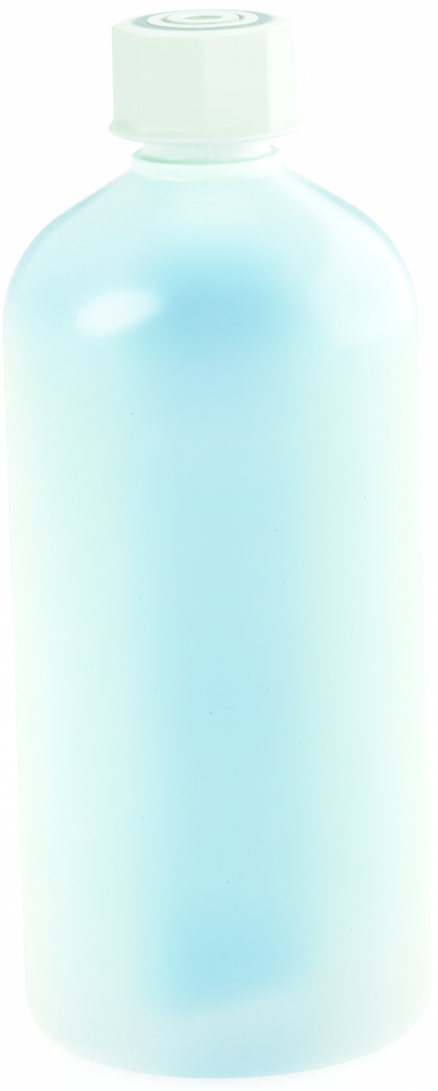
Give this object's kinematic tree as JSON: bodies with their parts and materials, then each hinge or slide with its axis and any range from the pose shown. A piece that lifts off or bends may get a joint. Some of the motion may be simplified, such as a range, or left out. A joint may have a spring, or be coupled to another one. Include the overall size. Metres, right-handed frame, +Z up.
{
  "type": "reagent bottle",
  "caption": "Narrow-mouth round laboratory reagent bottle of milky soft plastic, with an octagonal flanged screw cap that unscrews along its thread.",
  "frame": {"origin": "centre of the base, on the surface the bottle stands on", "axes": "+Z up along the bottle's axis, towards the cap; -Y towards the viewer's side, where a corner of the cap's grip points"},
  "size_m": [0.09, 0.09, 0.2256],
  "materials": {
    "bottle_plastic": "natural low-density polyethylene, milky and translucent, soft sheen",
    "cap_plastic": "off-white moulded plastic, matte",
    "liner_foam": "white polyethylene foam, matte"
  },
  "bodies": {
    "bottle": {"bottle": "bottle_plastic"},
    "liner": {"sealing_liner": "liner_foam"},
    "cap": {"screw_cap": "cap_plastic"}
  },
  "joints": [
    {"name": "cap_lift", "type": "slide", "parent": "bottle", "child": "liner", "axis": [0, 0, 1], "range_m": [0, 0.0201]},
    {"name": "cap_turn", "type": "hinge", "parent": "liner", "child": "cap", "pos_m": [0, 0, 0.212], "axis": [0, 0, 1], "range_deg": [0, 1800]}
  ],
  "couplings": [
    {"joint": "cap_lift", "follows": "cap_turn", "m_per_rad": 0.00063662}
  ]
}
